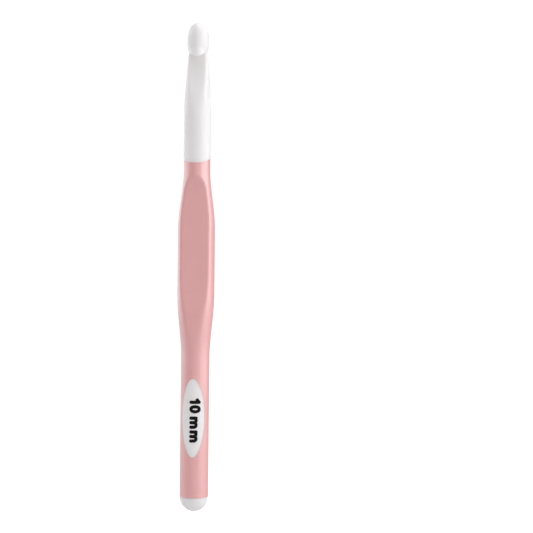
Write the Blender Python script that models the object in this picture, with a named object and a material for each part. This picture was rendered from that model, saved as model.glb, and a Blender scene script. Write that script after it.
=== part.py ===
"""Soft-grip crochet hook, 10 mm: a white plastic hook core and the soft grip moulded round it.

The hook stands upright. +Z points to the head, -Y is the front, which the thumb rest and the mouth of the
hook face, and +X is to the right of someone looking at the front. The origin is the centre of the thumb
rest's flat. Lengths are in millimetres and become metres where vertices are made. A "height" is measured
from the tip of the butt along the hook's axis, and an "angle" goes round the axis from the front to +X.
"""

import math

import bmesh
import bpy

MM = 0.001

# Overall
LENGTH = 180.0
CLEARANCE = 0.3

# Bare hook: shank, neck and head
SHANK_RADIUS = 5.0
TAPER_START = 148.0
NECK_HEIGHT = 173.2
TAPER_POWER = 1.8
NECK_HALF_WIDTH = 2.7
NECK_FRONT = 4.36
NECK_BACK = 3.47
HEAD_HALF_WIDTH = 4.0
HEAD_WIDEST = 173.2
HEAD_SWELL = 5.5
HEAD_POWER = 2.6

# Throat, cut from the front under the lip
THROAT_START = 151.0
THROAT_END = 167.0
THROAT_DEPTH = 1.6
THROAT_POWER = 1.6
FOLD_HEIGHT = 169.3
FOLD_REACH = 1.8
LIP_SLOPE = 0.74
CROWN = 1.6
CROWN_HALF_WIDTH = 4.05
CROWN_LIMIT = 4.6
CROWN_LIFT = 1.2

# Grip: round stretches and the tapers between them
HANDLE_RADIUS = 5.3
BULGE_RADIUS = 6.82
GRIP_NECK_RADIUS = 4.85
LOWER_TAPER = (57.0, 79.0)
UPPER_TAPER = (104.0, 126.5)
GRIP_BOTTOM = 5.6
GRIP_TOP = 130.5
EDGE_SLOPE = 0.44
EDGE_FADE = (114.0, 127.0, 134.0, 147.0)

# Thumb rest: a flat, a deeper scoop above it, and ramps out to the surface at both ends
THUMB_FLAT = 4.25
THUMB_CENTRE = 94.0
FLAT_BOTTOM = 87.0
FLAT_TOP = 101.0
LOWER_RAMP_END = 71.0
LOWER_RAMP_RISE = 1.17
SCOOP_BOTTOM = 118.0
SCOOP_DROP = 0.75
UPPER_RAMP = (118.5, 123.3)
UPPER_RAMP_RISE = 1.45
UPPER_RAMP_POWER = 1.6
RIM_SOFTNESS = 0.6
SHARPEST_RIM = 0.05
RIM_FADE = (57.0, 66.0)

# Inside: the tang follows the grip's outside, with ring grooves that lock the soft plastic on
GRIP_WALL = 1.2
GROOVES = (12.5, 54.0, 110.0)
GROOVE_DEPTH = 0.8
GROOVE_HALF_LENGTH = 1.3

# Butt dome, oval windows and the gate recess
BUTT_RADIUS = 5.2
WINDOW_HEIGHT = 34.9
WINDOW_HALF_LENGTH = 14.4
WINDOW_HALF_WIDTH = 4.1
WINDOW_SIDES = 48
GATE_HEIGHT = 11.3
GATE_RADIUS = 0.9
GATE_DEPTH = 0.45
GATE_SIDES = 16

# Mesh: points round the hook, and where its rings are, as (first height, last height, count) or as angles
SEGMENTS = 40
SHARP_DEGREES = 35.0
BUTT_TURNS = (15.0, 32.0, 50.0, 70.0, 90.0)
TANG_LEVELS = ((18.0, 51.0, 3), (60.0, 126.0, 23))
SHANK_LEVELS = ((136.0, 148.0, 3), (150.0, 166.0, 9), (167.0, HEAD_WIDEST, 9))
HEAD_TURNS = (22.0, 38.0, 52.0, 64.0, 74.0, 83.0)
GRIP_LEVELS = ((17.5, 51.5, 2), (57.0, 69.0, 5), (71.5, 116.5, 19), (118.5, 126.5, 7))
THROAT_SLICES = (2.2, 3.0, 3.7, 4.3, 6.0)
THROAT_FLOOR_POINTS = 12
THROAT_FOLD_POINTS = 8

# Cutters stand this far out of what they cut: sideways from the axis, and along it
CUTTER_REACH = 9.0
CUTTER_MARGIN = 2.0

# A direction whose cosine to the front is less than this can't meet the thumb rest
SIDEWAYS = 0.2

# Materials: colour, roughness
WHITE_PLASTIC = ((0.86, 0.85, 0.84, 1.0), 0.28)
PINK_RUBBER = ((0.79, 0.45, 0.45, 1.0), 0.6)


def blend(value, start, end):
    """Smooth step: 0 up to start, 1 from end on."""
    t = min(max((value - start) / (end - start), 0.0), 1.0)
    return t * t * (3.0 - 2.0 * t)


def soft_min(a, b, softness):
    """The smaller of two lengths, rounded off where they differ by less than softness."""
    overlap = max(softness - abs(a - b), 0.0)
    return min(a, b) - overlap * overlap / (4.0 * softness)


def grip_round_radius(height):
    """The grip's radius where the thumb rest doesn't cut it."""
    swell = (BULGE_RADIUS - HANDLE_RADIUS) * blend(height, *LOWER_TAPER)
    waist = (BULGE_RADIUS - GRIP_NECK_RADIUS) * blend(height, *UPPER_TAPER)
    return HANDLE_RADIUS + swell - waist


def thumb_depth(height):
    """How far in front of the axis the thumb rest's surface is."""
    lower = LOWER_RAMP_RISE * (1.0 - blend(height, LOWER_RAMP_END, FLAT_BOTTOM))
    scoop = SCOOP_DROP * blend(height, FLAT_TOP, SCOOP_BOTTOM)
    start, end = UPPER_RAMP
    along = max((height - start) / (end - start), 0.0)
    return THUMB_FLAT + lower - scoop + UPPER_RAMP_RISE * along**UPPER_RAMP_POWER


def grip_radius(angle, height):
    """The grip's outer radius: round, with the thumb rest cut across the front."""
    round_radius = grip_round_radius(height)
    facing = math.cos(angle)
    if facing < SIDEWAYS:
        return round_radius
    softness = SHARPEST_RIM + (RIM_SOFTNESS - SHARPEST_RIM) * blend(height, *RIM_FADE)
    return soft_min(round_radius, thumb_depth(height) / facing, softness)


def edge_slope(height):
    """Slope of a ring of vertices, so that rings lie along the grip's slanted top edge."""
    low_start, low_end, high_start, high_end = EDGE_FADE
    fade = blend(height, low_start, low_end) * (1.0 - blend(height, high_start, high_end))
    return EDGE_SLOPE * fade


def grip_ring(height, inset, slope=None):
    """Ring of (x, y, height) points that lies inset under the grip's outer surface."""
    slope = edge_slope(height) if slope is None else slope
    points = []
    for i in range(SEGMENTS):
        angle = 2.0 * math.pi * i / SEGMENTS
        side, back = math.sin(angle), -math.cos(angle)
        level = height + slope * back * (grip_radius(angle, height) - inset)
        radius = grip_radius(angle, level) - inset
        points.append((radius * side, radius * back, height + slope * back * radius))
    return points


def head_extents(height):
    """Half width, front reach and back reach of the bare hook, before the throat is cut."""
    along = min(max((height - TAPER_START) / (NECK_HEIGHT - TAPER_START), 0.0), 1.0)
    taper = along**TAPER_POWER
    neck = SHANK_RADIUS - (SHANK_RADIUS - NECK_HALF_WIDTH) * taper
    front = SHANK_RADIUS - (SHANK_RADIUS - NECK_FRONT) * taper
    back = SHANK_RADIUS - (SHANK_RADIUS - NECK_BACK) * taper
    below = min(max((HEAD_WIDEST - height) / HEAD_SWELL, 0.0), 1.0)
    swell = HEAD_HALF_WIDTH * (1.0 - below**HEAD_POWER) ** (1.0 / HEAD_POWER)
    above = min(max((height - HEAD_WIDEST) / (LENGTH - HEAD_WIDEST), 0.0), 1.0)
    dome = (1.0 - above**HEAD_POWER) ** (1.0 / HEAD_POWER)
    return max(neck, swell) * dome, front * dome, back * dome


def head_ring(height):
    """Ring of (x, y, height) points round the bare hook."""
    half_width, front, back = head_extents(height)
    slope = edge_slope(height)
    points = []
    for i in range(SEGMENTS):
        angle = 2.0 * math.pi * i / SEGMENTS
        facing = math.cos(angle)
        y = -facing * (front if facing > 0.0 else back)
        points.append((half_width * math.sin(angle), y, height + slope * y))
    return points


def spaced(start, end, count):
    """count values from start to end, both included."""
    return [start + (end - start) * i / (count - 1) for i in range(count)]


def levels(stretches):
    """All the heights of several evenly spaced stretches."""
    return [height for stretch in stretches for height in spaced(*stretch)]


def grooved_rings(heights, inset, groove_half_length):
    """Rings up the inside of the grip, stepping in at each lock groove."""
    steps = []
    for height in heights:
        if all(abs(height - groove) > groove_half_length + CLEARANCE for groove in GROOVES):
            steps.append((height, 0, inset))
    for groove in GROOVES:
        low, high = groove - groove_half_length, groove + groove_half_length
        deep = inset + GROOVE_DEPTH
        steps += [(low, 0, inset), (low, 1, deep), (high, 0, deep), (high, 1, inset)]
    return [grip_ring(height, depth) for height, _, depth in sorted(steps)]


def world(point):
    """A (x, y, height) point in millimetres as the model's metres."""
    x, y, height = point
    return (x * MM, (y + THUMB_FLAT) * MM, (height - THUMB_CENTRE) * MM)


def add_ring(mesh, points):
    return [mesh.verts.new(world(point)) for point in points]


def bridge(mesh, lower, upper):
    """Quads between two rings of the same length."""
    count = len(lower)
    for i in range(count):
        j = (i + 1) % count
        mesh.faces.new((lower[i], lower[j], upper[j], upper[i]))


def fan(mesh, ring, tip, upward):
    """Triangles from a ring to the point that closes it."""
    count = len(ring)
    for i in range(count):
        j = (i + 1) % count
        mesh.faces.new((ring[i], ring[j], tip) if upward else (ring[j], ring[i], tip))


def finish_object(name, mesh):
    """A new object from a bmesh, shaded smooth apart from its sharp edges."""
    data = bpy.data.meshes.new(name)
    mesh.to_mesh(data)
    mesh.free()
    data.shade_smooth()
    data.set_sharp_from_angle(angle=math.radians(SHARP_DEGREES))
    thing = bpy.data.objects.new(name, data)
    bpy.context.scene.collection.objects.link(thing)
    return thing


def closed_spindle(name, rings, bottom, top):
    """A closed solid through a stack of rings, with a point at each end."""
    mesh = bmesh.new()
    loops = [add_ring(mesh, ring) for ring in rings]
    for lower, upper in zip(loops, loops[1:]):
        bridge(mesh, lower, upper)
    fan(mesh, loops[0], mesh.verts.new(world(bottom)), upward=False)
    fan(mesh, loops[-1], mesh.verts.new(world(top)), upward=True)
    return finish_object(name, mesh)


def closed_tube(name, rings):
    """A closed tube wall: rings up the outside, then down the inside, joined end to end."""
    mesh = bmesh.new()
    loops = [add_ring(mesh, ring) for ring in rings]
    for lower, upper in zip(loops, loops[1:] + loops[:1]):
        bridge(mesh, lower, upper)
    return finish_object(name, mesh)


def prism(name, outline, start_y, end_y):
    """A prism along Y through a closed outline of (x, height) points, seen from the front."""
    mesh = bmesh.new()
    front = add_ring(mesh, [(x, start_y, height) for x, height in outline])
    back = add_ring(mesh, [(x, end_y, height) for x, height in outline])
    bridge(mesh, back, front)
    mesh.faces.new(front)
    mesh.faces.new(list(reversed(back)))
    return finish_object(name, mesh)


def ellipse(half_width, half_height, centre_height, sides):
    """Ellipse as (x, height) points, counterclockwise seen from the front."""
    turns = [2.0 * math.pi * i / sides for i in range(sides)]
    return [(half_width * math.cos(t), centre_height + half_height * math.sin(t)) for t in turns]


def hide_cutter(thing):
    thing.hide_render = True
    thing.display_type = "WIRE"
    return thing


def boolean(thing, cutter, operation):
    modifier = thing.modifiers.new(f"{operation.lower()}_{cutter.name}", "BOOLEAN")
    modifier.operation = operation
    modifier.solver = "EXACT"
    modifier.object = cutter


def material(name, colour, roughness):
    made = bpy.data.materials.new(name)
    made.use_nodes = True
    surface = made.node_tree.nodes["Principled BSDF"]
    surface.inputs["Base Color"].default_value = colour
    surface.inputs["Roughness"].default_value = roughness
    surface.inputs["Metallic"].default_value = 0.0
    return made


def throat_floor(height):
    """How far in front of the axis the throat's floor is, along its middle."""
    along = min(max((height - THROAT_START) / (THROAT_END - THROAT_START), 0.0), 1.0)
    rise = SHANK_RADIUS - THROAT_DEPTH
    return THROAT_DEPTH + rise * (1.0 - along) ** THROAT_POWER


def throat_outline(crown):
    """(y, height) points round the space cut away for the throat, on one slice across the hook.

    The floor runs up from the shank, curves over under the lip and comes out below it.
    """
    lead = THROAT_START - CUTTER_MARGIN
    fold = (crown - THROAT_DEPTH, FOLD_HEIGHT + CROWN_LIFT * crown)
    under_lip = (fold[0] - FOLD_REACH, fold[1] - FOLD_REACH * LIP_SLOPE)
    heights = spaced(lead, THROAT_END, THROAT_FLOOR_POINTS)
    floor = [(crown - throat_floor(height), height) for height in heights]
    points = [(-CUTTER_REACH, lead)] + floor
    start = floor[-1]
    for t in spaced(0.0, 1.0, THROAT_FOLD_POINTS)[1:]:
        near, middle, far = (1.0 - t) ** 2, 2.0 * t * (1.0 - t), t * t
        y = near * start[0] + middle * fold[0] + far * under_lip[0]
        height = near * start[1] + middle * fold[1] + far * under_lip[1]
        points.append((y, height))
    drop = (CUTTER_REACH + under_lip[0]) * LIP_SLOPE
    points.append((-CUTTER_REACH, under_lip[1] - drop))
    return points


def throat_cutter():
    """The space under the lip, with a floor that curves back towards both sides."""
    mesh = bmesh.new()
    slices = []
    for x in [-x for x in reversed(THROAT_SLICES)] + [0.0] + list(THROAT_SLICES):
        crown = CROWN * (min(abs(x), CROWN_LIMIT) / CROWN_HALF_WIDTH) ** 4
        slices.append(add_ring(mesh, [(x, y, height) for y, height in throat_outline(crown)]))
    for left, right in zip(slices, slices[1:]):
        bridge(mesh, left, right)
    mesh.faces.new(list(reversed(slices[0])))
    mesh.faces.new(slices[-1])
    return hide_cutter(finish_object("throat_cutter", mesh))


def window_pads():
    """The core's two ovals: an oval prism, kept where it is inside the handle's outer surface."""
    short = CLEARANCE / 2.0
    half_width, half_length = WINDOW_HALF_WIDTH - short, WINDOW_HALF_LENGTH - short
    outline = ellipse(half_width, half_length, WINDOW_HEIGHT, WINDOW_SIDES)
    pads = hide_cutter(prism("window_pads", outline, -CUTTER_REACH, CUTTER_REACH))
    reach = WINDOW_HALF_LENGTH + CUTTER_MARGIN
    low, high = WINDOW_HEIGHT - reach, WINDOW_HEIGHT + reach
    rings = [grip_ring(low, 0.0), grip_ring(high, 0.0)]
    skin = closed_spindle("handle_skin", rings, (0.0, 0.0, low), (0.0, 0.0, high))
    boolean(pads, hide_cutter(skin), "INTERSECT")
    return pads


def hook_core(plastic):
    """Butt, tang, shank and head in one solid."""
    shoulder = GRIP_BOTTOM - CLEARANCE / 2.0
    rings = []
    for turn in BUTT_TURNS:
        radius = BUTT_RADIUS * math.sin(math.radians(turn))
        height = shoulder * (1.0 - math.cos(math.radians(turn)))
        rings.append(grip_ring(height, HANDLE_RADIUS - radius))
    inset = GRIP_WALL + CLEARANCE
    edge = GRIP_TOP + CLEARANCE / 2.0
    rings.append(grip_ring(shoulder, inset))
    rings += grooved_rings(levels(TANG_LEVELS), inset, GROOVE_HALF_LENGTH)
    rings.append(grip_ring(edge, inset, EDGE_SLOPE))
    rings += [head_ring(height) for height in [edge] + levels(SHANK_LEVELS)]
    for turn in HEAD_TURNS:
        along = math.sin(math.radians(turn)) ** (2.0 / HEAD_POWER)
        rings.append(head_ring(HEAD_WIDEST + (LENGTH - HEAD_WIDEST) * along))
    core = closed_spindle("hook_core", rings, (0.0, 0.0, 0.0), (0.0, 0.0, LENGTH))
    boolean(core, throat_cutter(), "DIFFERENCE")
    boolean(core, window_pads(), "UNION")
    core.data.materials.append(plastic)
    return core


def gate_cutter():
    """The small round recess in the back of the grip where the mould was filled."""
    outline = ellipse(GATE_RADIUS, GATE_RADIUS, GATE_HEIGHT, GATE_SIDES)
    return hide_cutter(prism("gate_cutter", outline, HANDLE_RADIUS - GATE_DEPTH, CUTTER_REACH))


def window_cutter():
    """Oval hole straight through the grip, from front to back."""
    gap = CLEARANCE / 2.0
    half_width, half_length = WINDOW_HALF_WIDTH + gap, WINDOW_HALF_LENGTH + gap
    outline = ellipse(half_width, half_length, WINDOW_HEIGHT, WINDOW_SIDES)
    return hide_cutter(prism("window_cutter", outline, -CUTTER_REACH, CUTTER_REACH))


def grip_sleeve(rubber):
    """The soft grip: a tube with a shaped outside, lock ribs inside and two windows."""
    bottom, top = GRIP_BOTTOM + CLEARANCE / 2.0, GRIP_TOP - CLEARANCE / 2.0
    rings = [grip_ring(height, 0.0) for height in [bottom] + levels(GRIP_LEVELS)]
    rings.append(grip_ring(top, 0.0, EDGE_SLOPE))
    heights = [bottom] + levels(TANG_LEVELS)
    inner = grooved_rings(heights, GRIP_WALL, GROOVE_HALF_LENGTH - CLEARANCE)
    inner.append(grip_ring(top, GRIP_WALL, EDGE_SLOPE))
    sleeve = closed_tube("grip_sleeve", rings + list(reversed(inner)))
    boolean(sleeve, window_cutter(), "DIFFERENCE")
    boolean(sleeve, gate_cutter(), "DIFFERENCE")
    sleeve.data.materials.append(rubber)
    return sleeve


def clear_scene():
    for thing in list(bpy.data.objects):
        bpy.data.objects.remove(thing)


def main():
    clear_scene()
    hook_core(material("white_plastic", *WHITE_PLASTIC))
    grip_sleeve(material("pink_rubber", *PINK_RUBBER))


main()
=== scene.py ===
"""Looks of the soft-grip crochet hook: fine moulded surfaces, their plastics and the printed size.

The surfaces are worked out from the same formulas as the CAD solids. Each moulding is a field: a function of
(x, y, height) that is negative inside the plastic, zero on its skin and close to a distance in millimetres
near it. x and y are measured from the hook's axis and height from the butt's tip. -y is the front, which the
thumb rest and the mouth of the hook face. moulding() turns a field into a closed mesh, nearly all quads.
"""

import itertools
import math

import bpy
import numpy as np
from mathutils import Matrix, Vector

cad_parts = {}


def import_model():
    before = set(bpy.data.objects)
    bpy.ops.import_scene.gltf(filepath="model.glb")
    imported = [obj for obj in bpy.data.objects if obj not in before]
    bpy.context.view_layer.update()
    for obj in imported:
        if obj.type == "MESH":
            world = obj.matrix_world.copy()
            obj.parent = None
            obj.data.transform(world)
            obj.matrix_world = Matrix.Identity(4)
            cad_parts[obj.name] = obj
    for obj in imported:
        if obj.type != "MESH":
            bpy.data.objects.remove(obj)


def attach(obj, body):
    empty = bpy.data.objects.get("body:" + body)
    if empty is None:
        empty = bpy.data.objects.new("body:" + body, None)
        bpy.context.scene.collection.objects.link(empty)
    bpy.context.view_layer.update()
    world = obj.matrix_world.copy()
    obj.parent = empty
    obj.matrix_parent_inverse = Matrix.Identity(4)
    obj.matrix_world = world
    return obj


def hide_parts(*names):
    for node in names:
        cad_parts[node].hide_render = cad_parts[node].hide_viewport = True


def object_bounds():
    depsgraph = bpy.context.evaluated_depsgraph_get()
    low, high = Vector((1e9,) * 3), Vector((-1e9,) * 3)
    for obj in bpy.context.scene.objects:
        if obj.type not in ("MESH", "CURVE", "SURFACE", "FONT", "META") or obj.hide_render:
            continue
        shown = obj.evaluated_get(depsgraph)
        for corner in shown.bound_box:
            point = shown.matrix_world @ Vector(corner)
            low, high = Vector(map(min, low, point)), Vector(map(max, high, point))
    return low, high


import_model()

MM = 0.001
CAD_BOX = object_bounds()

# Lengths and heights are in millimetres, down to the printed size.
# The hook in the row frame, whose origin is the middle of the thumb rest, THUMB_FLAT in front of the axis
THUMB_FLAT = 4.25
BUTT_Z = CAD_BOX[0].z / MM
LENGTH = (CAD_BOX[1].z - CAD_BOX[0].z) / MM

# Round shank, which tapers to an oval neck
SHANK_RADIUS = 5.0
TAPER_START = 148.0
TAPER_POWER = 1.8
NECK_HEIGHT = 173.2
NECK_HALF_WIDTH = 2.7
NECK_FRONT = 4.36
NECK_BACK = 3.47

# Domed head
HEAD_HALF_WIDTH = 4.0
HEAD_FRONT = 4.4
HEAD_BACK = 2.8
HEAD_WIDEST = 173.2
HEAD_SWELL = 5.5
HEAD_POWER = 2.6
HEAD_JOIN = 0.22

# Throat under the lip: THROAT_DEPTH is how far its floor stays in front of the axis. Its edge is very round
# at the bottom, where the floor runs out into the shank, and sharper from SHARP_EDGE_HEIGHT up.
THROAT_START = 151.0
THROAT_END = 167.0
THROAT_DEPTH = 1.6
THROAT_POWER = 1.6
ROUND_EDGE = 1.8
SHARP_EDGE = 0.4
SHARP_EDGE_HEIGHT = 161.0

# Fold, where the throat's floor turns into the underside of the lip
FOLD_HEIGHT = 169.3
FOLD_SOFTNESS = 1.8
LIP_SLOPE = 0.74
LIP_RISE = 1.9
LIP_POWER = 4

# Crown: how the throat's floor falls back towards both sides
CROWN = 1.6
CROWN_HALF_WIDTH = 4.05
CROWN_LIMIT = 4.4
CROWN_POWER = 8.0

# Grip
HANDLE_RADIUS = 5.3
BULGE_RADIUS = 6.82
GRIP_NECK_RADIUS = 4.85
LOWER_TAPER = (57.0, 79.0)
UPPER_TAPER = (104.0, 126.5)
GRIP_BOTTOM = 5.6
GRIP_TOP = 130.5
EDGE_SLOPE = 0.44
GRIP_WALL = 1.2

# Thumb rest
FLAT_BOTTOM = 87.0
FLAT_TOP = 101.0
LOWER_RAMP_END = 71.0
LOWER_RAMP_RISE = 1.17
SCOOP_BOTTOM = 118.0
SCOOP_DROP = 0.75
UPPER_RAMP = (118.5, 123.3)
UPPER_RAMP_RISE = 1.45
UPPER_RAMP_POWER = 1.6
RIM_SOFTNESS = 0.6
SHARPEST_RIM = 0.05
RIM_FADE = (57.0, 66.0)

# Lock grooves round the tang, and the grip's ribs that fill them
GROOVES = (12.5, 54.0, 110.0)
GROOVE_DEPTH = 0.8
GROOVE_HALF_LENGTH = 1.3
GROOVE_FLANK = 0.6

# Butt, windows, and the marks that the moulds' gates left
BUTT_RADIUS = 5.2
BUTT_HEIGHT = 5.45
WINDOW_HEIGHT = 34.9
BACK_WINDOW_HEIGHT = 33.7
WINDOW_HALF_LENGTH = 14.4
WINDOW_HALF_WIDTH = 4.1
GATE_HEIGHT = 11.3
GATE_RADIUS = 0.8
GATE_DEPTH = 0.9
GATE_DISH_RADIUS = 1.4
GATE_DISH_DEPTH = 0.35
PAD_GATE_HEIGHT = 31.5
PAD_GATE_RADIUS = 1.0
PAD_GATE_DEPTH = 0.12
PAD_GATE_FLATNESS = 3.0

# Where the two plastics meet: half the hairline between them, and how round their edges are
SEAM = 0.005
SEAM_ROUNDING = 0.03

# Guards: a field's value where its shape is absent, and the least values that are divided by
FAR = 10.0
LEAST_SHARE = 0.05
LEAST_STEEPNESS = 0.001
TINY = 1e-9

# The grid's three axes, and the stretch of levels that leans with the grip's slanted top edge
TURN, RADIUS, LEVEL = 0, 1, 2
LEAN_IN = (114.0, 127.0)
LEAN_OUT = (134.0, 147.0)

# The grids' lines, as (start, end, spacing): close where there are edges, curves and marks
TURNS = 144
CORE_RADII = ((0.0, 0.13, 0.13), (0.13, 6.13, 0.2))
CORE_BUTT = ((-0.21, 6.5, 0.18), (6.5, 11.0, 0.5), (11.0, 14.0, 0.25), (14.0, 19.0, 0.7))
CORE_TANG = ((19.0, 49.4, 0.2), (49.4, 57.0, 0.4), (57.0, 108.0, 1.1), (108.0, 112.0, 0.4))
CORE_SHANK = ((112.0, 126.0, 1.1), (126.0, 131.5, 0.18), (131.5, 149.0, 0.9))
CORE_HEAD = ((149.0, 166.0, 0.27), (166.0, 181.0, 0.16))
GRIP_RADII = ((1.13, 7.53, 0.2),)
GRIP_END = ((5.03, 6.4, 0.11), (6.4, 8.0, 0.3), (8.0, 12.6, 0.15), (12.6, 19.0, 0.5))
GRIP_WINDOWS = ((19.0, 49.4, 0.2), (49.4, 57.0, 0.5))
GRIP_FRONT = ((57.0, 128.0, 0.7), (128.0, 129.5, 0.3), (129.5, 131.2, 0.11))

# From a field to a mesh. FLATNESS keeps a point near the middle of its cell, LONGEST_SHIFT is how far from
# there it may go, a mean normal under SHARP_AGREEMENT marks a sharp edge, and INTO_FACE is how far inside a
# face the shading beside such an edge is taken.
HALVINGS = 12
SLOPE_STEP = 0.002
FLATNESS = 0.01
LONGEST_SHIFT = 0.2
SHARP_AGREEMENT = 0.97
INTO_FACE = 0.4

# Printed size, "10 mm", read from top to bottom. The letters' sizes are those of their strokes' middle lines.
MARK_TOP = 41.6
MARK_BASELINE = -0.57
MARK_LENGTH = 17.0
MARK_MARGIN = 1.0
MARK_PROUD = 0.03
MARK_TURNS = 360
MARK_SPACING = 0.1
MARK_LAYER = 0.0325
STROKE = 1.2
DIGIT_RISE = 3.0
FLAG_WIDTH = 0.85
FLAG_DROP = 0.75
NOUGHT_WIDTH = 1.8
M_WIDTH = 3.3
M_RISE = 1.9
MARK_STARTS = (0.0, 2.5, 6.65, 11.7)

# The share of a noise's range over which colours and roughness go from low to high
LOW_NOISE, HIGH_NOISE = 0.3, 0.7

# Studio, in metres and watts: the floor and the surroundings look white and light the hook less
FLOOR_HALF_SIZE = 4.0
FLOOR_GAP = 0.03
FLOOR_LIGHT, FLOOR_IN_VIEW = 0.26, 1.0
WORLD_LIGHT, WORLD_IN_VIEW = 0.45, 1.05
SOFTBOX_DISTANCE = 0.9
SOFTBOX_HEIGHT = 0.9

# Softboxes: name, azimuth (0 is in front, 90 to the right), elevation, width and power
SOFTBOXES = (
    ("key", 79.0, 12.0, 1.3, 5.3),
    ("rim", 250.0, 12.0, 1.4, 3.7),
    ("top", 60.0, 80.0, 0.9, 3.5),
    ("fill", 10.0, -8.0, 0.5, 0.8),
)

# Camera: metres from the middle of the hook, degrees, and millimetres of lens
CAMERA_DISTANCE = 0.4415
CAMERA_SIDEWAYS = 0.0260
CAMERA_ABOVE = 0.0006
CAMERA_TURN = 5.1
CAMERA_ROLL = 0.58
CAMERA_LENS = 80.7
CAMERA_SENSOR = 36.0


# ---- Small maths ------------------------------------------------------------------------------------------


def ramp(value, start, end):
    """Smooth step: 0 up to start, 1 from end on."""
    t = np.clip((value - start) / (end - start), 0.0, 1.0)
    return t * t * (3.0 - 2.0 * t)


def both(a, b, rounding):
    """Field of what is inside a and inside b, with the edge between them rounded off."""
    near = np.maximum(rounding - np.abs(a - b), 0.0)
    return np.maximum(a, b) + near * near / (4.0 * rounding)


def either(a, b, rounding):
    """Field of what is inside a or b, with a fillet where they meet."""
    return -both(-a, -b, rounding)


def without(a, b, rounding):
    """Field of a with b cut away."""
    return both(a, -b, rounding)


def to_oval(x, y, half_width, half_height):
    """Distance from an oval's outline, negative inside it."""
    share = np.hypot(x / half_width, y / half_height)
    steepness = np.hypot(x / half_width**2, y / half_height**2)
    return (share - 1.0) * np.maximum(share, LEAST_SHARE) / np.maximum(steepness, LEAST_STEEPNESS)


# ---- Fields of the two mouldings --------------------------------------------------------------------------


def round_radius(height):
    """The grip's radius where the thumb rest doesn't cut it."""
    swell = (BULGE_RADIUS - HANDLE_RADIUS) * ramp(height, *LOWER_TAPER)
    waist = (BULGE_RADIUS - GRIP_NECK_RADIUS) * ramp(height, *UPPER_TAPER)
    return HANDLE_RADIUS + swell - waist


def thumb_depth(height):
    """How far in front of the axis the thumb rest's surface is."""
    lower = LOWER_RAMP_RISE * (1.0 - ramp(height, LOWER_RAMP_END, FLAT_BOTTOM))
    scoop = SCOOP_DROP * ramp(height, FLAT_TOP, SCOOP_BOTTOM)
    start, end = UPPER_RAMP
    along = np.maximum((height - start) / (end - start), 0.0)
    return THUMB_FLAT + lower - scoop + UPPER_RAMP_RISE * along**UPPER_RAMP_POWER


def grip_skin(x, y, height):
    """The grip's outside, as if it had no windows and no ends."""
    rim = SHARPEST_RIM + (RIM_SOFTNESS - SHARPEST_RIM) * ramp(height, *RIM_FADE)
    return both(np.hypot(x, y) - round_radius(height), -y - thumb_depth(height), rim)


def grip_edge(y, height):
    """Negative above the grip's slanted top edge."""
    return (GRIP_TOP + EDGE_SLOPE * y - height) / math.hypot(1.0, EDGE_SLOPE)


def window(x, y, height):
    """Negative inside the ovals of the two windows. The back one is a little lower than the front one."""
    middle = np.where(y < 0.0, WINDOW_HEIGHT, BACK_WINDOW_HEIGHT)
    return to_oval(x, height - middle, WINDOW_HALF_WIDTH, WINDOW_HALF_LENGTH)


def lock(height, half_length):
    """1 in the lock grooves and 0 between them."""
    depth = np.zeros_like(height)
    for groove in GROOVES:
        away = np.abs(height - groove)
        depth = np.maximum(depth, 1.0 - ramp(away, half_length - GROOVE_FLANK, half_length))
    return depth


def bare_hook(x, y, height):
    """Shank, neck and head, before the throat is cut. The neck runs on up the head's back as a spine."""
    low = np.minimum(height, HEAD_WIDEST)
    along = np.clip((low - TAPER_START) / (NECK_HEIGHT - TAPER_START), 0.0, 1.0)
    taper = along**TAPER_POWER
    wide = SHANK_RADIUS - (SHANK_RADIUS - NECK_HALF_WIDTH) * taper
    deep = SHANK_RADIUS - (SHANK_RADIUS - np.where(y < 0.0, NECK_FRONT, NECK_BACK)) * taper
    above = np.maximum(height - HEAD_WIDEST, 0.0) / (LENGTH - HEAD_WIDEST)
    below = np.maximum(HEAD_WIDEST - height, 0.0) / HEAD_SWELL
    stem = np.hypot(x / wide, y / deep) ** HEAD_POWER + above**HEAD_POWER
    reach = np.where(y < 0.0, HEAD_FRONT, HEAD_BACK)
    head = np.hypot(x / HEAD_HALF_WIDTH, y / reach) ** HEAD_POWER + (above + below) ** HEAD_POWER
    stem = (stem ** (1.0 / HEAD_POWER) - 1.0) * wide
    head = (head ** (1.0 / HEAD_POWER) - 1.0) * HEAD_HALF_WIDTH
    return either(stem, head, HEAD_JOIN)


def throat_edge(height):
    """How round the throat's edge is."""
    roundness = 1.0 - ramp(height, THROAT_START, SHARP_EDGE_HEIGHT)
    return SHARP_EDGE + (ROUND_EDGE - SHARP_EDGE) * roundness


def throat(x, y, height):
    """The space under the lip. Its floor curves back towards both sides."""
    crown = CROWN * (np.minimum(np.abs(x), CROWN_LIMIT) / CROWN_HALF_WIDTH) ** CROWN_POWER
    along = np.minimum((height - THROAT_START) / (THROAT_END - THROAT_START), 1.0)
    floor = THROAT_DEPTH + (SHANK_RADIUS - THROAT_DEPTH) * (1.0 - along) ** THROAT_POWER
    in_front = y + floor - crown
    fold = FOLD_HEIGHT + LIP_RISE * (x / CROWN_HALF_WIDTH) ** LIP_POWER
    under_lip = height - fold - LIP_SLOPE * (y - crown + THROAT_DEPTH)
    return both(in_front, under_lip / math.hypot(1.0, LIP_SLOPE), FOLD_SOFTNESS)


def shank_and_head(x, y, height):
    """What stands out of the grip's slanted top edge."""
    hook = without(bare_hook(x, y, height), throat(x, y, height), throat_edge(height))
    return both(hook, grip_edge(y, height) + SEAM, SEAM_ROUNDING)


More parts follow.
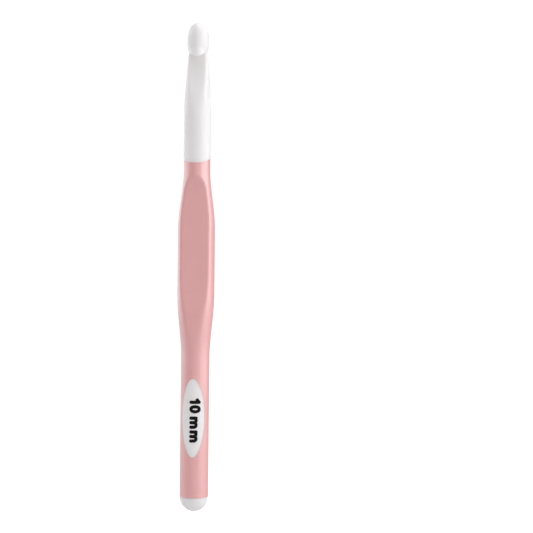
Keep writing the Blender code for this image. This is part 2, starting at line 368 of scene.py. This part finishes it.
def tang(y, height, skin):
    """The thinner stem inside the grip, with its lock grooves. It runs on into the shank and the butt."""
    stem = skin + GRIP_WALL + 2.0 * SEAM + GROOVE_DEPTH * lock(height, GROOVE_HALF_LENGTH)
    stem = np.maximum(stem, -grip_edge(y, height) - GRIP_WALL)
    return np.maximum(stem, GRIP_BOTTOM / 2.0 - height)


def pads(x, y, height, skin):
    """The ovals that fill the windows. The back one has a faint dimple."""
    flush = both(skin, window(x, y, height) + SEAM, SEAM_ROUNDING)
    away = np.hypot(x, height - PAD_GATE_HEIGHT)
    dimple = np.hypot(away, (skin + PAD_GATE_DEPTH) * PAD_GATE_FLATNESS) - PAD_GATE_RADIUS
    return np.where(y > 0.0, without(flush, dimple, PAD_GATE_DEPTH), flush)


def butt(x, y, height):
    """The domed end below the grip."""
    dome = np.hypot(np.hypot(x, y) / BUTT_RADIUS, (BUTT_HEIGHT - height) / BUTT_HEIGHT)
    return both((dome - 1.0) * BUTT_RADIUS, height - GRIP_BOTTOM + SEAM, SEAM_ROUNDING)


def core_field(x, y, height):
    """The white moulding."""
    skin = grip_skin(x, y, height)
    ends = np.minimum(shank_and_head(x, y, height), butt(x, y, height))
    return np.minimum(ends, np.minimum(tang(y, height, skin), pads(x, y, height, skin)))


def gate_recess(x, y, height, skin):
    """The hole low on the back of the grip, at the bottom of a shallow dish."""
    away = np.hypot(x, height - GATE_HEIGHT)
    hole = both(away - GATE_RADIUS, -skin - GATE_DEPTH, SEAM_ROUNDING)
    slope = GATE_DISH_DEPTH / (GATE_DISH_RADIUS - GATE_RADIUS)
    dish = -skin - (GATE_DISH_RADIUS - away) * slope
    recess = either(hole, both(dish, away - 2.0 * GATE_DISH_RADIUS, SEAM_ROUNDING), SEAM_ROUNDING)
    return np.where(y > 0.0, recess, FAR)


def grip_field(x, y, height):
    """The soft pink moulding: a tube round the tang, open at the windows."""
    skin = grip_skin(x, y, height)
    ribs = (GROOVE_DEPTH - SEAM) * lock(height, GROOVE_HALF_LENGTH - 2.0 * SEAM)
    wall = both(skin, -skin - GRIP_WALL - ribs, SEAM_ROUNDING)
    wall = both(wall, GRIP_BOTTOM + SEAM - height, SEAM_ROUNDING)
    wall = both(wall, SEAM - grip_edge(y, height), SEAM_ROUNDING)
    wall = without(wall, window(x, y, height) - SEAM, SEAM_ROUNDING)
    return without(wall, gate_recess(x, y, height, skin), SEAM_ROUNDING)


# ---- From a field to a mesh -------------------------------------------------------------------------------


def lines(*stretches):
    """Grid lines from (start, end, spacing) stretches that follow each other."""
    made = []
    for start, end, spacing in stretches:
        count = max(round((end - start) / spacing), 1)
        made += [start + (end - start) * i / count for i in range(count)]
    return np.array(made + [stretches[-1][1]])


def place(turn, radius, level):
    """(x, y, height) of a grid point. Levels lean near the grip's top edge, so that it lies along them."""
    x, y = radius * np.sin(turn), -radius * np.cos(turn)
    lean = ramp(level, *LEAN_IN) * (1.0 - ramp(level, *LEAN_OUT))
    return x, y, level + EDGE_SLOPE * lean * y


def cells_in_use(inside):
    """Numbers for the grid's cells that the skin passes through, and -1 for the rest."""
    shape = tuple(size - 1 for size in inside.shape)
    corners_inside = np.zeros(shape, int)
    for i, j, k in itertools.product((0, 1), repeat=3):
        corners_inside += inside[i : i + shape[0], j : j + shape[1], k : k + shape[2]]
    used = (corners_inside > 0) & (corners_inside < 8)
    index = np.full(shape, -1)
    index[used] = np.arange(used.sum())
    return index


def crossed_edges(inside, axis):
    """The (turn, radius, level) places of the grid's edges along one axis that the skin crosses."""
    crossed = np.diff(inside, axis=axis)
    if axis != TURN:
        crossed = crossed[:-1]
    if axis != RADIUS:
        crossed[:, 0] = False
    return np.nonzero(crossed)


def cells_round(where, index, axis):
    """The four cells round each of one axis's crossed edges."""
    second, third = (axis + 1) % 3, (axis + 2) % 3
    cells = []
    for before_second, before_third in ((1, 1), (1, 0), (0, 0), (0, 1)):
        cell = list(where)
        cell[second] = cell[second] - before_second
        cell[third] = cell[third] - before_third
        cells.append(index[tuple(cell)])
    return np.stack(cells, axis=1)


def skin_on_edges(field, grid, where, axis, starts_inside):
    """Halves each crossed edge until it is short, and gives the point where the skin crosses it."""
    low = np.stack([lines_of_axis[n] for lines_of_axis, n in zip(grid, where)])
    high = low.copy()
    high[axis] = grid[axis][where[axis] + 1]
    for _ in range(HALVINGS):
        middle = (low + high) / 2.0
        same = (field(*place(*middle)) < 0.0) == starts_inside
        low = np.where(same, middle, low)
        high = np.where(same, high, middle)
    return np.stack(place(*((low + high) / 2.0)), axis=1)


def slope_of(field, points):
    """The field's unit gradient at some points."""
    slopes = np.empty_like(points)
    for axis in range(3):
        ahead, behind = points.copy(), points.copy()
        ahead[:, axis] += SLOPE_STEP
        behind[:, axis] -= SLOPE_STEP
        slopes[:, axis] = field(*ahead.T) - field(*behind.T)
    return slopes / np.maximum(np.linalg.norm(slopes, axis=1), TINY)[:, None]


def summed(values, cells, count):
    """Adds each crossing's values up over the cells round it."""
    flat = values.reshape(len(values), -1)
    total = np.stack([np.bincount(cells, column, count) for column in flat.T], axis=1)
    return total.reshape((count,) + values.shape[1:])


def fitted(points, normals, cells, count):
    """For each cell, the point nearest to the planes of its crossings, which falls on any sharp edge.

    Also gives the mean normal, which is shorter than 1 where the skin bends within the cell.
    """
    share = 1.0 / np.maximum(np.bincount(cells, minlength=count), 1)[:, None]
    middle = summed(points, cells, count) * share
    mean_normal = summed(normals, cells, count) * share
    off_plane = (normals * (points - middle[cells])).sum(axis=1)[:, None]
    target = summed(normals * off_plane, cells, count) * share
    spread = summed(normals[:, :, None] * normals[:, None, :], cells, count) * share[:, :, None]
    shift = np.linalg.solve(spread + FLATNESS * np.eye(3), target[:, :, None])[:, :, 0]
    far = np.linalg.norm(shift, axis=1)
    shift *= np.minimum(1.0, LONGEST_SHIFT / np.maximum(far, TINY))[:, None]
    return middle + shift, mean_normal


def skin_of(field, turns, radii, levels):
    """Points, mean normals and faces of a field's skin, by dual contouring on a grid round the axis."""
    grid = (2.0 * math.pi * np.arange(turns + 1) / turns, radii, levels)
    inside = field(*np.broadcast_arrays(*place(*np.ix_(*grid)))) < 0.0
    inside[-1] = inside[0]
    index = cells_in_use(inside)
    points, quads = [], []
    for axis in (TURN, RADIUS, LEVEL):
        where = crossed_edges(inside, axis)
        starts_inside = inside[where]
        cells = cells_round(where, index, axis)
        points.append(skin_on_edges(field, grid, where, axis, starts_inside))
        quads.append(np.where(starts_inside[:, None], cells, cells[:, ::-1]))
    points, quads = np.concatenate(points), np.concatenate(quads)
    normals = slope_of(field, points)
    around = np.repeat(np.arange(len(points)), 4)
    spots, mean_normals = fitted(points[around], normals[around], quads.ravel(), index.max() + 1)
    tips, caps = caps_on_axis(field, inside, index, levels)
    spots = np.concatenate([spots, tips])
    mean_normals = np.concatenate([mean_normals, slope_of(field, tips)])
    return spots, mean_normals, quads.tolist() + caps


def caps_on_axis(field, inside, index, levels):
    """Where the skin crosses the axis itself, a point there and a fan of triangles round it."""
    tips, caps = [], []
    grid = (np.zeros(1), np.zeros(1), levels)
    for k in np.nonzero(np.diff(inside[0, 0]))[0]:
        starts_inside = inside[0, 0, k]
        where = (np.array([0]), np.array([0]), np.array([k]))
        tip = index.max() + 1 + len(tips)
        tips.append(skin_on_edges(field, grid, where, LEVEL, starts_inside)[0])
        ring = index[:, 0, k].tolist()
        for here, there in zip(ring, ring[1:] + ring[:1]):
            caps.append([here, there, tip] if starts_inside else [there, here, tip])
    return np.array(tips).reshape(-1, 3), caps


def world(points):
    """(x, y, height) points in millimetres as the row frame's metres."""
    return (np.asarray(points) + (0.0, THUMB_FLAT, BUTT_Z)) * MM


def shading(field, points, mean_normals, faces):
    """A normal for each face's corner: smooth over the skin, and the face's own side of a sharp edge."""
    agreement = np.linalg.norm(mean_normals, axis=1)
    smooth = slope_of(field, points)
    corners = np.concatenate([np.array(face) for face in faces])
    sizes = np.array([len(face) for face in faces])
    face_of = np.repeat(np.arange(len(faces)), sizes)
    middle = summed(points[corners], face_of, len(faces)) / sizes[:, None]
    inward = points[corners] + INTO_FACE * (middle[face_of] - points[corners])
    own = slope_of(field, inward)
    return np.where((agreement[corners] < SHARP_AGREEMENT)[:, None], own, smooth[corners])


def placed(name, data):
    """An object made of some data, in the scene."""
    made = bpy.data.objects.new(name, data)
    bpy.context.scene.collection.objects.link(made)
    return made


def moulding(name, field, turns, radii, levels):
    """An object with the field's skin as its mesh."""
    points, mean_normals, faces = skin_of(field, turns, radii, levels)
    mesh = bpy.data.meshes.new(name)
    mesh.from_pydata(world(points), [], faces)
    mesh.shade_smooth()
    mesh.normals_split_custom_set(shading(field, points, mean_normals, faces))
    return placed(name, mesh)


def hook_core():
    """The white moulding's object."""
    levels = lines(*CORE_BUTT, *CORE_TANG, *CORE_SHANK, *CORE_HEAD)
    return moulding("white_core", core_field, TURNS, lines(*CORE_RADII), levels)


def grip_sleeve():
    """The pink moulding's object."""
    levels = lines(*GRIP_END, *GRIP_WINDOWS, *GRIP_FRONT)
    return moulding("soft_grip", grip_field, TURNS, lines(*GRIP_RADII), levels)


# ---- Printed size -----------------------------------------------------------------------------------------


def line_to(u, v, start, end):
    """Distance from the straight line between two points."""
    along = np.array(end) - start
    share = ((u - start[0]) * along[0] + (v - start[1]) * along[1]) / (along**2).sum()
    share = np.clip(share, 0.0, 1.0)
    return np.hypot(u - start[0] - share * along[0], v - start[1] - share * along[1])


def figure_one(u, v):
    """A stem with a short slanted flag."""
    foot, top = (FLAG_WIDTH, 0.0), (FLAG_WIDTH, DIGIT_RISE)
    flag = (0.0, DIGIT_RISE - FLAG_DROP)
    return np.minimum(line_to(u, v, foot, top), line_to(u, v, flag, top))


def figure_nought(u, v):
    """An oval ring."""
    half_width, half_rise = NOUGHT_WIDTH / 2.0, DIGIT_RISE / 2.0
    return np.abs(to_oval(u - half_width, v - half_rise, half_width, half_rise))


def letter_m(u, v):
    """Three stems, with an arch from each to the next."""
    radius = M_WIDTH / 4.0
    spring = M_RISE - radius
    nearest = line_to(u, v, (0.0, 0.0), (0.0, M_RISE))
    for stem in (2.0 * radius, 4.0 * radius):
        leg = line_to(u, v, (stem, 0.0), (stem, spring))
        arch = np.abs(np.hypot(u - stem + radius, v - spring) - radius)
        nearest = np.minimum(nearest, np.minimum(leg, np.where(v > spring, arch, leg)))
    return nearest


def lettering(u, v):
    """Distance from the middle of the strokes of "10 mm". u is the way it reads, and v is up."""
    one, nought, first_m, second_m = MARK_STARTS
    number = np.minimum(figure_one(u - one, v), figure_nought(u - nought, v))
    unit = np.minimum(letter_m(u - first_m, v), letter_m(u - second_m, v))
    return np.minimum(number, unit)


def mark_field(x, y, height):
    """Ink on the front pad. The lettering reads from top to bottom, wrapped round the handle."""
    v = HANDLE_RADIUS * np.arctan2(x, -y) - MARK_BASELINE
    stroke = lettering(MARK_TOP - height, v) - STROKE / 2.0
    film = np.abs(np.hypot(x, y) - HANDLE_RADIUS) - MARK_PROUD
    return both(np.where(y < 0.0, stroke, FAR), film, MARK_PROUD)


def size_mark():
    """The ink's object, on a grid two layers deep on each side of the pad's skin."""
    radii = lines((HANDLE_RADIUS - 2.0 * MARK_LAYER, HANDLE_RADIUS + 2.0 * MARK_LAYER, MARK_LAYER))
    levels = lines((MARK_TOP - MARK_LENGTH, MARK_TOP + MARK_MARGIN, MARK_SPACING))
    return moulding("size_mark", mark_field, MARK_TURNS, radii, levels)


# ---- Materials --------------------------------------------------------------------------------------------


class Shader:
    """A material's nodes, with a short call for each kind that is used."""

    def __init__(self, name):
        self.material = bpy.data.materials.new(name)
        self.material.use_nodes = True
        self.nodes = self.material.node_tree.nodes
        self.links = self.material.node_tree.links
        self.surface = self.nodes["Principled BSDF"]
        self.place = self.add("ShaderNodeTexCoord").outputs["Object"]

    def add(self, kind):
        """A new node."""
        return self.nodes.new(kind)

    def link(self, source, target):
        """Joins a node's output to another one's input."""
        self.links.new(source, target)

    def stretched(self, scale):
        """Object coordinates scaled along each axis."""
        node = self.add("ShaderNodeMapping")
        node.inputs["Scale"].default_value = scale
        self.link(self.place, node.inputs["Vector"])
        return node.outputs["Vector"]

    def noise(self, scale, detail=2.0, roughness=0.5, stretch=(1.0, 1.0, 1.0)):
        """Noise with features about 1 / scale metres across."""
        node = self.add("ShaderNodeTexNoise")
        self.link(self.stretched(stretch), node.inputs["Vector"])
        node.inputs["Scale"].default_value = scale
        node.inputs["Detail"].default_value = detail
        node.inputs["Roughness"].default_value = roughness
        return node.outputs["Fac"]

    def between(self, share, low, high):
        """A value that goes from low to high over the middle of a noise's range."""
        node = self.add("ShaderNodeMapRange")
        node.inputs["From Min"].default_value = LOW_NOISE
        node.inputs["From Max"].default_value = HIGH_NOISE
        node.inputs["To Min"].default_value = low
        node.inputs["To Max"].default_value = high
        self.link(share, node.inputs["Value"])
        return node.outputs["Result"]

    def tint(self, share, low, high):
        """A colour that goes from low to high over the middle of a noise's range."""
        node = self.add("ShaderNodeValToRGB")
        first, last = node.color_ramp.elements
        first.position, last.position = LOW_NOISE, HIGH_NOISE
        first.color, last.color = (*low, 1.0), (*high, 1.0)
        self.link(share, node.inputs["Fac"])
        return node.outputs["Color"]

    def bump(self, height, depth, below=None):
        """Bumps depth millimetres deep, on top of the bumps below."""
        node = self.add("ShaderNodeBump")
        node.inputs["Strength"].default_value = 1.0
        node.inputs["Distance"].default_value = depth * MM
        self.link(height, node.inputs["Height"])
        if below is not None:
            self.link(below, node.inputs["Normal"])
        return node.outputs["Normal"]

    def seen(self, strength, in_view):
        """A strength for light that falls on things, and another one for what is looked at directly."""
        node = self.add("ShaderNodeMapRange")
        node.inputs["To Min"].default_value = strength
        node.inputs["To Max"].default_value = in_view
        self.link(self.add("ShaderNodeLightPath").outputs["Is Camera Ray"], node.inputs["Value"])
        return node.outputs["Result"]

    def set(self, **values):
        """Sets the surface's inputs to values or to other nodes' outputs. Underscores stand for spaces."""
        for key, value in values.items():
            socket = self.surface.inputs[key.replace("_", " ")]
            if isinstance(value, bpy.types.NodeSocket):
                self.link(value, socket)
            else:
                socket.default_value = value


def white_plastic():
    """Glossy moulded plastic, with faint flow streaks along the hook, orange peel and fine specks."""
    shader = Shader("white_plastic")
    clouds = shader.noise(90.0, detail=3.0)
    streaks = shader.noise(700.0, detail=3.0, stretch=(1.0, 1.0, 0.06))
    peel = shader.noise(900.0, detail=1.0)
    specks = shader.noise(5000.0, detail=2.0)
    normal = shader.bump(peel, 0.012)
    normal = shader.bump(streaks, 0.004, normal)
    shader.set(
        Base_Color=shader.tint(clouds, (0.955, 0.905, 0.909), (0.97, 0.925, 0.929)),
        Roughness=shader.between(streaks, 0.26, 0.38),
        IOR=1.5,
        Specular_IOR_Level=0.5,
        Subsurface_Weight=0.5,
        Subsurface_Radius=(1.0, 1.0, 1.0),
        Subsurface_Scale=MM,
        Normal=shader.bump(specks, 0.0008, normal),
    )
    return shader.material


def pink_rubber():
    """Soft moulded rubber: a fine matt grain, slightly cloudy colour and a dusty sheen."""
    shader = Shader("pink_rubber")
    clouds = shader.noise(110.0, detail=4.0)
    grain = shader.noise(3800.0, detail=2.0, roughness=0.6)
    waves = shader.noise(420.0, detail=1.0)
    normal = shader.bump(waves, 0.012)
    shader.set(
        Base_Color=shader.tint(clouds, (0.84, 0.247, 0.25), (0.88, 0.272, 0.277)),
        Roughness=shader.between(grain, 0.40, 0.52),
        IOR=1.5,
        Specular_IOR_Level=1.0,
        Coat_Weight=1.0,
        Coat_Roughness=0.45,
        Coat_IOR=3.2,
        Sheen_Weight=0.2,
        Sheen_Roughness=0.6,
        Normal=shader.bump(grain, 0.006, normal),
    )
    return shader.material


def print_ink():
    """Black pad-printing ink, a little uneven."""
    shader = Shader("print_ink")
    mottle = shader.noise(2500.0, detail=3.0)
    shader.set(
        Base_Color=shader.tint(mottle, (0.0015, 0.0015, 0.0015), (0.004, 0.004, 0.004)),
        Roughness=shader.between(mottle, 0.4, 0.55),
        Specular_IOR_Level=0.15,
        Normal=shader.bump(mottle, 0.003),
    )
    return shader.material


# ---- Studio -----------------------------------------------------------------------------------------------


def floor():
    """A plain pale floor under the hook."""
    z = CAD_BOX[0].z - FLOOR_GAP
    corners = [(x * FLOOR_HALF_SIZE, y * FLOOR_HALF_SIZE, z) for x, y in ((-1, -1), (1, -1), (1, 1), (-1, 1))]
    mesh = bpy.data.meshes.new("floor")
    mesh.from_pydata(corners, [], [(0, 1, 2, 3)])
    shader = Shader("pale_floor")
    shader.set(
        Base_Color=shader.tint(shader.noise(3.0), (0.38, 0.38, 0.38), (0.41, 0.41, 0.41)),
        Roughness=0.8,
        Emission_Color=(1.0, 1.0, 1.0, 1.0),
        Emission_Strength=shader.seen(FLOOR_LIGHT, FLOOR_IN_VIEW),
    )
    mesh.materials.append(shader.material)
    placed("floor", mesh)


def softbox(name, azimuth, elevation, width, power):
    """A soft rectangular light, aimed at the middle of the hook."""
    light = bpy.data.lights.new(name, "AREA")
    light.shape = "RECTANGLE"
    light.size = width
    light.size_y = SOFTBOX_HEIGHT
    light.energy = power
    turn, rise = math.radians(azimuth), math.radians(elevation)
    away = Vector((math.sin(turn) * math.cos(rise), -math.cos(turn) * math.cos(rise), math.sin(rise)))
    made = placed(name, light)
    made.location = away * SOFTBOX_DISTANCE
    made.rotation_mode = "QUATERNION"
    made.rotation_quaternion = away.to_track_quat("Z", "Y")


def surroundings():
    """White to look at, and dimmer as a light on the hook."""
    made = bpy.data.worlds.new("studio")
    made.use_nodes = True
    nodes, links = made.node_tree.nodes, made.node_tree.links
    rays = nodes.new("ShaderNodeLightPath")
    level = nodes.new("ShaderNodeMapRange")
    level.inputs["To Min"].default_value = WORLD_LIGHT
    level.inputs["To Max"].default_value = WORLD_IN_VIEW
    links.new(rays.outputs["Is Camera Ray"], level.inputs["Value"])
    nodes["Background"].inputs["Color"].default_value = (1.0, 1.0, 1.0, 1.0)
    links.new(level.outputs["Result"], nodes["Background"].inputs["Strength"])
    bpy.context.scene.world = made


def studio():
    """Floor, surroundings, lights, and colours shown as they are."""
    floor()
    surroundings()
    for settings in SOFTBOXES:
        softbox(*settings)
    bpy.context.scene.view_settings.view_transform = "Standard"
    bpy.context.scene.view_settings.look = "None"


def camera():
    """Level with the middle of the hook and turned round it a little, with the hook left of the middle."""
    data = bpy.data.cameras.new("camera")
    data.lens = CAMERA_LENS
    data.sensor_width = CAMERA_SENSOR
    data.clip_start, data.clip_end = 0.01, 20.0
    turn = math.radians(CAMERA_TURN)
    forward = Vector((-math.sin(turn), math.cos(turn), 0.0))
    right = Vector((math.cos(turn), math.sin(turn), 0.0))
    middle = Vector(world((0.0, 0.0, LENGTH / 2.0)))
    roll = Matrix.Rotation(math.radians(CAMERA_ROLL), 3, "Z").to_quaternion()
    above = Vector((0.0, 0.0, CAMERA_ABOVE))
    made = placed("camera", data)
    made.location = middle - forward * CAMERA_DISTANCE + right * CAMERA_SIDEWAYS + above
    made.rotation_mode = "QUATERNION"
    made.rotation_quaternion = forward.to_track_quat("-Z", "Y") @ roll
    bpy.context.scene.camera = made


# ---- The whole scene --------------------------------------------------------------------------------------


def finished(piece, slot, material, *replaced):
    """Gives a piece its material and its body, and hides the CAD nodes that it stands for."""
    piece.data.materials.clear()
    piece.data.materials.append(material)
    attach(piece, "root")
    if replaced:
        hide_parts(*replaced)


def main():
    """Camera, the three pieces and the studio."""
    camera()
    finished(hook_core(), "white_plastic", white_plastic(), "hook_core")
    finished(grip_sleeve(), "pink_rubber", pink_rubber(), "grip_sleeve")
    finished(size_mark(), "print_ink", print_ink())
    studio()


main()
